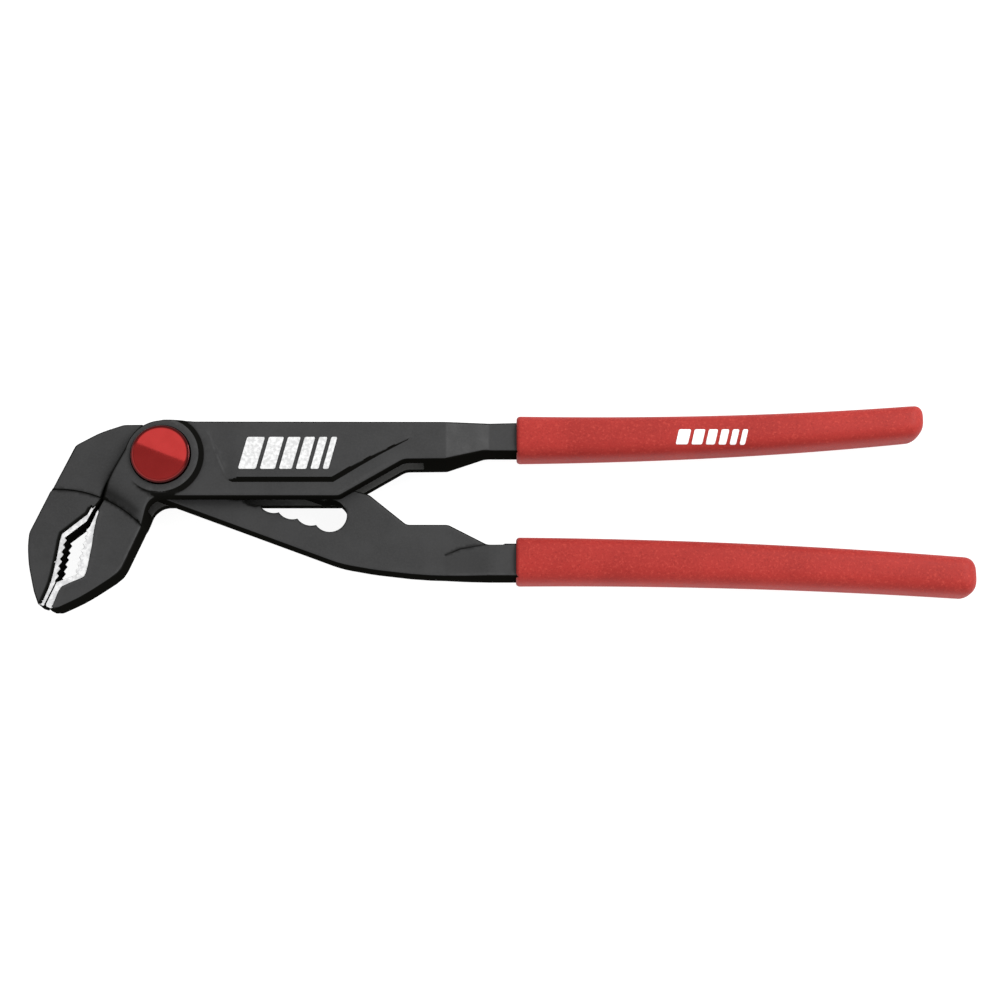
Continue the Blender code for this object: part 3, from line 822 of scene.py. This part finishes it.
def finish_forging(item, height, highlight_lines, shade_lines, band):
    """Painted highlight and painted shade values, and each face's material, from the final mesh."""
    points = plan_of(item)
    flat = points[:, :2].copy()
    on_top = np.abs(np.abs(points[:, 2]) - height(flat)) < ON_TOP
    # Painted highlight and painted shade, as soft lines on the top faces only.
    paint(item, "painted_highlight", near(flat, highlight_lines) * on_top)
    paint(item, "painted_shade", near(flat, shade_lines) * on_top)
    centres, normals = face_data(item)
    up = np.abs(normals[:, 2])
    in_band = within(centres[:, :2], band) & (up > FACES_UP) & (np.abs(centres[:, 2]) > 1.0)
    inward = centres[:, 2] * normals[:, 2] < 0
    # Painted light as well as bare metal: inward faces of the mortise take the lightened milled steel.
    milled_lit = inward & (up > FLAT) & (np.abs(np.abs(centres[:, 2]) - MORTISE) < 0.02)
    # Steep faces take the shaded wall copy of the steel, which is painted shade.
    choice = np.select([up < FACES_SIDEWAYS, in_band, milled_lit], [1, 2, 3], 0)
    item.data.materials.clear()
    for material in (STEEL, STEEL_SHADED_WALL, GROUND, MILLED_LIT):
        item.data.materials.append(material)
    item.data.polygons.foreach_set("material_index", choice.astype(np.int32))
    smooth(item)


def outer_half():
    outline = outer_outline()
    boss_rings = [arc(radius, 0, 360)[:-1] for radius in (BOSS_TOP_RADIUS, BOSS_RADIUS)]
    neck_rings = [arc(radius, 100, 20, TIP_CENTRE) for radius in (33.0, 35.0, 37.0, 39.5)]
    lines = [
        (CREASE, False, (0.0, 0.18)),
        (RIGHT_BAND, False, (0.0, -0.2, 0.2)),
        (RIGHT_BAND, False, (-0.8, 0.8)),
        (PANEL_LINE, False, (0.0, 0.3, 0.6, 0.9, 1.18, 1.4, -0.2)),
        (boss_rings[0], True, (0.0, 0.15, -0.25)),
        (boss_rings[1], True, (0.0, 0.15, -0.25)),
        *((ring, False, (0.0,)) for ring in neck_rings),
        ([(RAMP_START, -3.0), (RAMP_START, 10.0)], False, (-0.3, 0.0, 0.3)),
        ([(RAMP_END, -3.0), (RAMP_END, 10.0)], False, (-0.3, 0.0, 0.3)),
    ]
    body = relief(
        "outer_forging", outline, outer_height, outer_rear_height,
        edge_radius_of(RIGHT_BAND, RIGHT_BAND_MOUTH), lines,
    )
    mortise = prism(
        "mortise_cut",
        [
            (-40.0, -11.5), (-15.35, -11.5), (-10.4, -7.95), (-7.0, -9.15), (-2.4, -15.9),
            (MORTISE_END, -15.9), (MORTISE_END, 25.0), (-40.0, 25.0),
        ],
        -MORTISE, MORTISE,
    )
    front_bore = revolved(
        "front_bore_cut",
        [
            (0, BORE_FLOOR), (FRONT_BORE_RADIUS, BORE_FLOOR), (FRONT_BORE_RADIUS, BOSS_TOP - 0.1),
            (FRONT_BORE_RADIUS + 0.2, BOSS_TOP + 0.1), (FRONT_BORE_RADIUS + 0.2, 12.0), (0, 12.0),
        ],
        128,
    )
    rear_bore = revolved(
        "rear_bore_cut", [(0, -BEYOND), (REAR_BORE_RADIUS, -BEYOND), (REAR_BORE_RADIUS, 0.0), (0, 0.0)]
    )
    counterbore = revolved(
        "counterbore_cut",
        [
            (0, -12.0), (COUNTERBORE_RADIUS + 0.3, -12.0), (COUNTERBORE_RADIUS + 0.3, -CHEEK),
            (COUNTERBORE_RADIUS, -CHEEK + 0.3), (COUNTERBORE_RADIUS, COUNTERBORE_FLOOR),
            (0, COUNTERBORE_FLOOR),
        ],
        128,
    )
    carve(body, mortise, front_bore, rear_bore, counterbore)
    shoulder = [(-9.45, 1.6), (-13.9, -7.1), (-15.3, -11.2)]
    neck_edge = [
        (-2.2, -10.2), (-3.1, -11.4), (-4.1, -14.0), (-5.3, -18.4), (-8.6, -26.2), (-10.0, -29.4),
        (-11.6, -31.2),
    ]
    finish_forging(
        body, outer_height,
        # Painted highlight lines: the boss ring, the neck's edge, beside the band, the panel's edges and the
        # lower edge.
        [
            (arc(9.5, 75, -110), False, 0.3, 0.9),
            (neck_edge, False, 0.3, 0.6),
            ([(x + 0.55, y) for x, y in RIGHT_BAND], False, 0.3, 0.5),
            ([(12.3, 6.4), (13.8, 1.8), (16.4, -4.0)], False, 0.3, 0.8),
            ([(14.2, 2.8), (17.2, -3.4)], False, 0.2, 0.5),
            ([(-2.0, -10.1), (46.0, -10.1), (62.0, -1.0)], False, 0.2, 0.4),
        ],
        # Painted shade lines: jaw crease, boss edge and cone, shoulder, top edge, and a wide gradient on the
        # neck.
        [
            (CREASE, False, 0.3, 0.7),
            (arc(BOSS_RADIUS, 62, -105), False, 0.3, 0.5),
            (shoulder, False, 0.6, 1.0),
            (arc(10.65, 62, -105), False, 0.5, 0.9),
            ([(8.2, 9.35), (75.0, 9.25), (93.0, 9.65)], False, 0.3, 0.9),
            (arc(CREASE_RADIUS + 1.7, 80, 50, TIP_CENTRE), False, 1.4, 0.5),
        ],
        RIGHT_BAND + RIGHT_BAND_MOUTH,
    )
    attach(body, "outer")
    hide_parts("outer_half")


# ---------------------------------------------------------------- inner half


HEAD_EDGE = [(-15.9, -11.3), (-14.4, -7.1), (-9.95, 1.6), (-8.4, 4.6), (-7.35, 6.4), (-5.2, 9.1)]
HEAD_RIM = [
    (-5.2, 9.1), (-10.6, 9.0), (-16.8, 6.9), (-22.8, 3.5), (-28.4, -8.1), (-29.2, -9.0), (-34.2, -20.0),
    (-34.4, -23.5), (-34.0, -28.5), (-32.3, -35.6), (-31.0, -38.8),
]
THICK_EDGE = [(RAMP_START, -25.8), (78.3, -24.2), (85.0, -23.1), (SHANK_START, -22.95)]


def inner_height(points):
    x, y = points[:, 0], points[:, 1]
    head = within(points, HEAD_EDGE + [(-5.2, 20.0), (-60.0, 20.0), (-60.0, -60.0), (-15.9, -60.0)])
    head_gap = distance_to(points, HEAD_EDGE)
    z = np.where(head, PLATE + (HEAD - PLATE) * np.clip(head_gap / 0.2, 0, 1), PLATE)
    slope = np.interp(x, [69.6, RAMP_END], [2.75, SHANK])
    thick = within(points, THICK_EDGE + [(300.0, -22.95), (300.0, -60.0), (RAMP_START, -60.0)])
    raised = np.maximum(slope - PLATE, 0) * np.clip(distance_to(points, THICK_EDGE) / 0.25, 0, 1)
    z = z + np.where(thick, raised, 0.0)
    z = np.where(x > 90.0, SHANK, z)
    z = np.where(head, jaw_height(points, z), z)
    return z - band_drop(points, LEFT_BAND, LEFT_BAND_MOUTH, LEFT_BAND_STEP)


def inner_outline():
    low, high = shank_edges(LOWER_SLEEVE, LOWER_SHANK)
    return rounded([
        (-15.9, -11.3),
        (-10.4, -7.0),
        (47.3, -28.45, 30.0),
        (56.0, -30.0, 40.0),
        (68.0, -31.4, 60.0),
        (80.0, -31.75, 60.0),
        (93.0, -31.75),
        *low,
        *high[::-1],
        (93.0, -22.9),
        (85.4, -22.9, 3.0),
        (75.2, -17.6, 3.0),
        (64.3, -17.6, 2.5),
        (54.3, -9.5, 3.0),
        (50.6, -8.45, 3.0),
        *arc(8.6, 71, 98),
        (-4.6, 8.45),
        (-5.2, 9.15, 0.2),
        (-10.6, 9.1, 4.0),
        (-16.8, 7.0, 25.0),
        (-23.1, 3.5, 2.4),
        (-28.4, -8.0, 0.3),
        (-29.3, -8.9, 0.8),
        (-34.3, -20.0, 4.0),
        (-34.5, -23.5, 25.0),
        (-34.0, -28.5, 25.0),
        (-32.3, -35.6, 20.0),
        (-31.0, -38.9, 0.6),
        (-29.45, -39.4, 0.3),
        (-29.3, -38.8),
        (-26.8, -33.2),
        *toothed((-26.85, -32.6), (-24.9, -21.3), 6, -TOOTH_DEPTH, 0.7),
        (-19.4, -16.9, 1.0),
        (-17.9, -13.8, 2.0),
    ])


def notch_outline():
    cusp = math.degrees(math.asin(NOTCH_PITCH / 2 / NOTCH_RADIUS))
    corner = math.degrees(math.asin(SLOT_UPPER_WALL / NOTCH_RADIUS))
    points = []
    for i in range(NOTCH_COUNT):
        start = 180 - corner if i == 0 else 270 - cusp
        end = 360 + corner if i == NOTCH_COUNT - 1 else 270 + cusp
        points += arc(NOTCH_RADIUS, start, end, (i * NOTCH_PITCH, 0.0))
    points = [point for i, point in enumerate(points) if i == 0 or math.dist(point, points[i - 1]) > 0.01]
    return [on_slot(*point) for point in points]


def clear_outline():
    last = (NOTCH_COUNT - 1) * NOTCH_PITCH
    corner = math.degrees(math.asin(SLOT_UPPER_WALL / CLEAR_LOWER_WALL))
    points = arc(CLEAR_LOWER_WALL, 180 - corner, 270) + arc(CLEAR_LOWER_WALL, 270, 360 + corner, (last, 0.0))
    return [on_slot(*point) for point in points]


def inner_half():
    outline = inner_outline()
    lines = [
        (CREASE, False, (0.0, 0.18)),
        (LEFT_BAND, False, (0.0, -0.25, 0.25, -0.5, 0.5)),
        (LEFT_BAND, False, (-0.9, 0.9)),
        (HEAD_EDGE, False, (0.0, 0.2, -0.2)),
        (THICK_EDGE, False, (0.0, 0.25, -0.25)),
        ([(74.5, -33.0), (74.5, -20.0)], False, (-0.4, 0.0, 0.4)),
        ([(RAMP_END, -33.0), (RAMP_END, -20.0)], False, (-0.4, 0.0, 0.4)),
    ]
    body = relief(
        "inner_forging", outline, inner_height, inner_height,
        edge_radius_of(LEFT_BAND, LEFT_BAND_MOUTH), lines,
    )
    carve(
        body,
        prism("clear_cut", clear_outline(), -BEYOND, NOTCH_LAYER_FLOOR),
        prism("notch_cut", notch_outline(), NOTCH_LAYER_FLOOR - 0.3, BEYOND),
        revolved(
            "slot_end_cut", [(0, -BEYOND), (4.3, -BEYOND), (4.3, BEYOND), (0, BEYOND)], 72,
            on_slot((NOTCH_COUNT - 1) * NOTCH_PITCH, 0.0),
        ),
    )
    finish_forging(
        body, inner_height,
        # Painted highlight along the lower edge of the thick shank.
        [([(96.0, -31.0), (76.0, -31.0)], False, 0.3, 0.5)],
        # Painted shade lines, with a wide faint one darkening the sloped facet before the shank.
        [
            (CREASE, False, 0.3, 0.7),
            (LEFT_BAND, False, 0.4, 1.0),
            (HEAD_EDGE, False, 0.55, 1.0),
            (HEAD_RIM, False, 0.3, 0.9),
            ([(75.5, -27.6), (83.5, -27.6)], False, 3.6, 0.14),
            (THICK_EDGE, False, 0.4, 0.8),
            (notch_outline(), True, 0.25, 0.7),
        ],
        LEFT_BAND + LEFT_BAND_MOUTH,
    )
    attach(body, "inner")
    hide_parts("inner_half")


# ---------------------------------------------------------------- grips


# A sleeve's section is a superellipse of this power.
SECTION_POWER = 3.2
MOUTH_ROUND = 1.0
MOUTH_DROP = 0.8
MOUTH_ROWS, MIDDLE_ROWS, END_ROWS = 6, 110, 14


def grip(name, size, shank, body_name, node):
    """A sleeve lofted from rounded sections, with a rolled mouth and the shank's pocket cut out."""
    start, end, corners = size["start"], size["end"], size["end_corners"]
    around = 72
    squareness = 2 / SECTION_POWER

    def drawn_in(distance, radius):
        inside = min(max(distance / radius, 0.0), 1.0)
        return radius * (1 - math.sqrt(1 - inside * inside))

    deepest = max(corners)
    quarter = math.pi / 2
    stations = [start + MOUTH_ROUND * (1 - math.cos(quarter * i / MOUTH_ROWS)) for i in range(MOUTH_ROWS + 1)]
    middle = end - deepest - stations[-1]
    stations += [stations[-1] + middle * (i + 1) / MIDDLE_ROWS for i in range(MIDDLE_ROWS)]
    stations += [end - deepest + deepest * math.sin(quarter * (i + 1) / END_ROWS) for i in range(END_ROWS)]
    vertices = []
    for x in stations:
        low, high = sleeve_edges(size, x)
        mouth = drawn_in(start + MOUTH_ROUND - x, MOUTH_ROUND) * MOUTH_DROP
        low += drawn_in(x - (end - corners[0]), corners[0]) + mouth
        high -= drawn_in(x - (end - corners[1]), corners[1]) + mouth
        thick = SLEEVE_HALF - drawn_in(x - (end - corners[2]), corners[2]) - mouth
        centre, half = (low + high) / 2, (high - low) / 2
        for k in range(around):
            angle = 2 * math.pi * (k + 0.5) / around
            c, s = math.cos(angle), math.sin(angle)
            across = math.copysign(abs(c) ** squareness, c) * half
            up = math.copysign(abs(s) ** squareness, s) * thick
            vertices.append((x, centre + across, up))
    body = lofted(name, vertices, around)
    low, high = shank
    opening = [(x, y - SHANK_GAP) for x, y in low] + [(x, y + SHANK_GAP) for x, y in high[::-1]]
    far = max(x for x, _ in opening)
    opening = [(x + SHANK_GAP if x == far else x - 5.0 if x == SHANK_START else x, y) for x, y in opening]
    reach = SHANK + SHANK_GAP
    carve(body, prism(f"{name}_pocket", opening, -reach, reach))
    points = plan_of(body)
    # Painted shade: the sleeve darkens over its first 0.9 mm, at the mouth that meets the steel.
    mouth = np.clip(1 - (points[:, 0] - start) / 0.9, 0, 1)
    paint(body, "painted_shade", 0.55 * mouth)
    body.data.materials.clear()
    body.data.materials.append(GRIP)
    smooth(body, 40)
    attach(body, body_name)
    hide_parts(node)


# ---------------------------------------------------------------- marks


def slanted_bars(name, left, widths, gap, bottom, top, slant, base, rise, material):
    """A generic row of slanted raised bars that follow the surface base(points)."""
    rows, columns, corner = 28, 8, 0.4
    vertices, faces = [], []
    x = left
    for width in widths:
        first = len(vertices)
        for r in range(rows + 1):
            y = bottom + (top - bottom) * (1 - math.cos(math.pi * r / rows)) / 2
            gap_end = min(y - bottom, top - y)
            inside = max(corner - gap_end, 0.0)
            inset = corner - math.sqrt(corner**2 - inside**2)
            start = x + (y - bottom) * slant + inset
            for c in range(columns + 1):
                vertices.append((start + (width - 2 * inset) * c / columns, y))
        for r in range(rows):
            for c in range(columns):
                a = first + r * (columns + 1) + c
                faces.append((a, a + 1, a + columns + 2, a + columns + 1))
        x += width + gap
    flat = np.array(vertices)
    surface = base(flat)
    total = len(flat)
    solid = faces + [tuple(i + total for i in reversed(face)) for face in faces]
    edges = {(f[i], f[(i + 1) % 4]) for f in faces for i in range(4)}
    solid += [(i, i + total, j + total, j) for i, j in sorted(edges) if (j, i) not in edges]
    points = np.vstack([np.column_stack([flat, surface + rise]), np.column_stack([flat, surface - 0.3])])
    item = to_object(name, points, solid)
    item.data.materials.append(material)
    bevel = item.modifiers.new("edges", "BEVEL")
    bevel.width = 0.35 * rise * MM
    bevel.segments = 2
    bevel.limit_method = "ANGLE"
    bevel.angle_limit = math.radians(50)
    smooth(item, 50)
    return item


def marks():
    mark = slanted_bars(
        "cheek_mark", 20.4, (4.6, 3.9, 3.3, 2.7, 2.1, 1.5), 1.1, -3.9, 4.9, 0.24, outer_height, 0.28, MARK
    )
    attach(mark, "outer")

    def grip_top(points):
        low, high = sleeve_edges(UPPER_SLEEVE, points[:, 0])
        share = np.abs(points[:, 1] - (low + high) / 2) / ((high - low) / 2)
        return SLEEVE_HALF * (1 - share**SECTION_POWER) ** (1 / SECTION_POWER)

    small = slanted_bars(
        "grip_mark", 135.0, (3.2, 2.8, 2.4, 2.0, 1.7, 1.4), 0.95, 3.4, 7.4, 0.24, grip_top, 0.07, MARK_WHITE
    )
    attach(small, "outer")


# ---------------------------------------------------------------- button and spring


def button():
    """A dished cap with a rounded rim, hollow round the spigot where the spring presses."""
    radius, top = BUTTON_RADIUS, BUTTON_TOP
    ceiling, skirt, dish, edge = 8.0, 7.4, 0.22, 0.3
    profile = [
        (0, ceiling), (3.3, ceiling), (3.3, skirt), (4.3, skirt), (4.3, ceiling), (6.9, ceiling),
        (6.9, skirt), (radius, skirt), (radius, top - 0.5),
    ]
    for i in range(1, 7):
        turn = math.pi / 2 * i / 6
        profile.append((radius - edge + edge * math.cos(turn), top - edge + edge * math.sin(turn)))
    for share in (0.9, 0.8, 0.65, 0.5, 0.35, 0.2, 0.1):
        profile.append((share * (radius - edge), top - dish * (1 - share**2)))
    profile.append((0, top - dish))
    cap = revolved("button_cap", profile, 144)
    points = plan_of(cap)
    reach = np.hypot(points[:, 0], points[:, 1])
    # Painted shade: the cap's outer rim is painted near-black.
    paint(cap, "painted_shade", np.clip((reach - (radius - 0.5)) / 0.2, 0, 0.95))
    cap.data.materials.append(BUTTON)
    smooth(cap, 30)
    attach(cap, "button")
    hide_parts("push_button")


def spring():
    """A conical coil, the spring that squashes down onto the bush when the button is pressed; here it is
    built on the carrier with a mesh of its own.
    """
    sides, per_turn, turns, wire = 12, 48, 2.75, 0.3
    low, high, wide, narrow = 5.35, 7.6, 6.3, 5.0
    count = int(turns * per_turn)
    vertices = []
    for i in range(count + 1):
        part = i / count
        turn = 2 * math.pi * turns * part
        radius = wide + (narrow - wide) * part
        height = low + (high - low) * part
        for k in range(sides):
            around = 2 * math.pi * k / sides
            reach, rise = radius + wire * math.cos(around), wire * math.sin(around)
            vertices.append((reach * math.cos(turn), reach * math.sin(turn), height + rise))
    coil = lofted("spring_coil", vertices, sides)
    coil.data.materials.append(SPRING)
    smooth(coil, 40)
    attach(coil, "carrier")
    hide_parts("return_spring")
    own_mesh(coil)


def carried_nodes():
    """The small turned parts keep their CAD meshes and get machined steel."""
    for name in ("joint_pin", "guide_bush", "retaining_washer"):
        node = frame["nodes"][name]
        node.data.materials.clear()
        node.data.materials.append(PIN)


# ---------------------------------------------------------------- studio


CAMERA_PLACE = (-0.0005, -0.12203, 0.5255)
CAMERA_TILT = math.radians(13.5)
LENS = 72.6
FLOOR_HALF = 3.0
FLOOR_GREY = 0.25
FLOOR_GLOW = 0.9
WORLD_STRENGTH = 1.15
# Greys of the surroundings, from the horizon up to overhead.
WORLD_STOPS = ((0.0, 0.6), (0.3, 0.8), (0.5, 1.0), (0.8, 1.0), (0.93, 0.36), (1.0, 0.3))
KEY_PLACE = (0.45, 0.25, 0.52)
KEY_AIM = (0.05, 0, 0)
KEY_SIZE = 0.35
KEY_POWER = 3.9
CARD_HEIGHT = 0.4
CARD_WIDTH = 0.12
CARD_DEPTH = 0.09
CARD_EDGE = 0.002
CARD_TILT = math.radians(-25.0)
CARD_POWER = 0.028


def studio():
    mesh = bpy.data.meshes.new("floor")
    corners = [(x * FLOOR_HALF, y * FLOOR_HALF, 0) for x, y in ((-1, -1), (1, -1), (1, 1), (-1, 1))]
    mesh.from_pydata(corners, [], [(0, 1, 2, 3)])
    floor = bpy.data.objects.new("floor", mesh)
    bpy.context.scene.collection.objects.link(floor)
    paper = bpy.data.materials.new("paper")
    paper.use_nodes = True
    shader = paper.node_tree.nodes["Principled BSDF"]
    shader.inputs["Base Color"].default_value = (FLOOR_GREY, FLOOR_GREY, FLOOR_GREY, 1)
    shader.inputs["Emission Color"].default_value = (1.0, 1.0, 1.0, 1)
    shader.inputs["Emission Strength"].default_value = FLOOR_GLOW
    shader.inputs["Roughness"].default_value = 0.9
    shader.inputs["Specular IOR Level"].default_value = 0.0
    mesh.materials.append(paper)

    world = bpy.data.worlds.new("studio")
    bpy.context.scene.world = world
    world.use_nodes = True
    tree = world.node_tree
    back = tree.nodes["Background"]
    place = tree.nodes.new("ShaderNodeTexCoord")
    split = tree.nodes.new("ShaderNodeSeparateXYZ")
    ramp = tree.nodes.new("ShaderNodeValToRGB")
    tree.links.new(place.outputs["Generated"], split.inputs["Vector"])
    tree.links.new(split.outputs["Z"], ramp.inputs["Fac"])
    tree.links.new(ramp.outputs["Color"], back.inputs["Color"])
    back.inputs["Strength"].default_value = WORLD_STRENGTH
    for position, _ in WORLD_STOPS[1:-1]:
        ramp.color_ramp.elements.new(position)
    for element, (position, value) in zip(ramp.color_ramp.elements, WORLD_STOPS):
        element.position = position
        element.color = (value, value, value, 1)

    def area(name, place, target, width, height, power):
        light = bpy.data.lights.new(name, "AREA")
        light.shape = "RECTANGLE"
        light.size, light.size_y = width, height
        light.energy = power
        item = bpy.data.objects.new(name, light)
        item.location = place
        item.rotation_euler = (Vector(target) - Vector(place)).to_track_quat("-Z", "Y").to_euler()
        item.visible_camera = False
        bpy.context.scene.collection.objects.link(item)
        return item

    area("key", KEY_PLACE, KEY_AIM, KEY_SIZE, KEY_SIZE, KEY_POWER)

    # A small card that the button mirrors: its lower edge crosses the cap.
    cap = Vector((PIVOT.x, PIVOT.y, PIVOT.z + BUTTON_TOP * MM))
    seen = cap - Vector(CAMERA_PLACE)
    bounced = Vector((seen.x, seen.y, -seen.z)).normalized()
    across = Vector((math.cos(CARD_TILT), math.sin(CARD_TILT), 0))
    up = Vector((-across.y, across.x, 0))
    centre = cap + bounced * (CARD_HEIGHT / bounced.z) - up * (CARD_DEPTH / 2 + CARD_EDGE)
    light = area("card", centre, centre - Vector((0, 0, 1)), CARD_WIDTH, CARD_DEPTH, CARD_POWER)
    light.rotation_euler = (0, 0, CARD_TILT)


def camera():
    data = bpy.data.cameras.new("camera")
    data.sensor_width = 36.0
    data.lens = LENS
    data.clip_start = 0.01
    data.clip_end = 20.0
    item = bpy.data.objects.new("camera", data)
    item.location = CAMERA_PLACE
    item.rotation_euler = (CAMERA_TILT, 0, 0)
    bpy.context.scene.collection.objects.link(item)
    bpy.context.scene.camera = item


def build():
    outer_half()
    inner_half()
    grip("upper_grip", UPPER_SLEEVE, shank_edges(UPPER_SLEEVE, UPPER_SHANK), "outer", "upper_grip_sleeve")
    grip("lower_grip", LOWER_SLEEVE, shank_edges(LOWER_SLEEVE, LOWER_SHANK), "inner", "lower_grip_sleeve")
    marks()
    button()
    spring()
    carried_nodes()
    studio()
    camera()
    bpy.context.scene.view_settings.view_transform = "Standard"


build()
